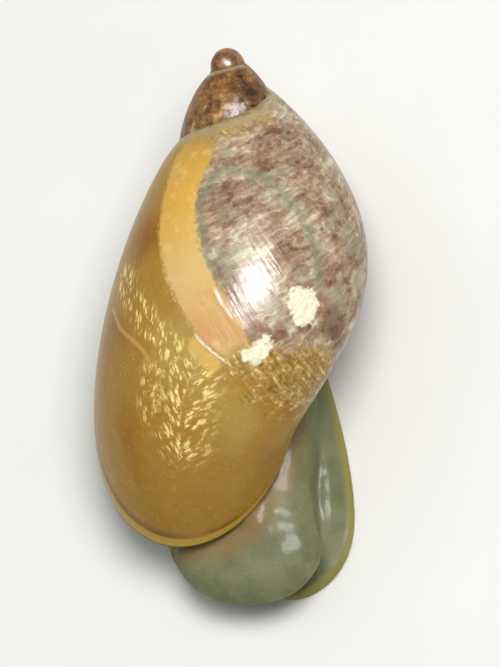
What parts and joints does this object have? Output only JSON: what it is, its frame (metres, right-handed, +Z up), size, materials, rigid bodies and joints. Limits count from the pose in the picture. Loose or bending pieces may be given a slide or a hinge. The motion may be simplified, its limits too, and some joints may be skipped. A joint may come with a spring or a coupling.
{
  "type": "amber snail model",
  "caption": "Still life-size amber snail at rest: glossy amber spiral shell over a broad pale foot, with head, short feelers and tail.",
  "frame": {"origin": "on the floor, under the middle of the bounding box", "axes": "+Z up, -Y the way the head looks, +X the animal's left"},
  "size_m": [0.0098, 0.0184, 0.0081],
  "materials": {
    "amber_shell": "glossy translucent shell, amber with cream flecks",
    "brown_shell": "glossy shell, mottled reddish brown",
    "mantle": "moist translucent skin, pale orange",
    "flesh": "moist translucent skin, milky grey",
    "feeler": "moist translucent skin, grey"
  },
  "bodies": {
    "root": {"shell_body_whorl": "amber_shell", "shell_spire": "brown_shell", "mantle_collar": "mantle", "foot": "flesh", "tail": "flesh", "head": "flesh", "neck": "flesh", "torso": "flesh", "upper_feeler_left": "feeler", "upper_feeler_right": "feeler", "lower_feeler_left": "feeler", "lower_feeler_right": "feeler"}
  },
  "joints": []
}
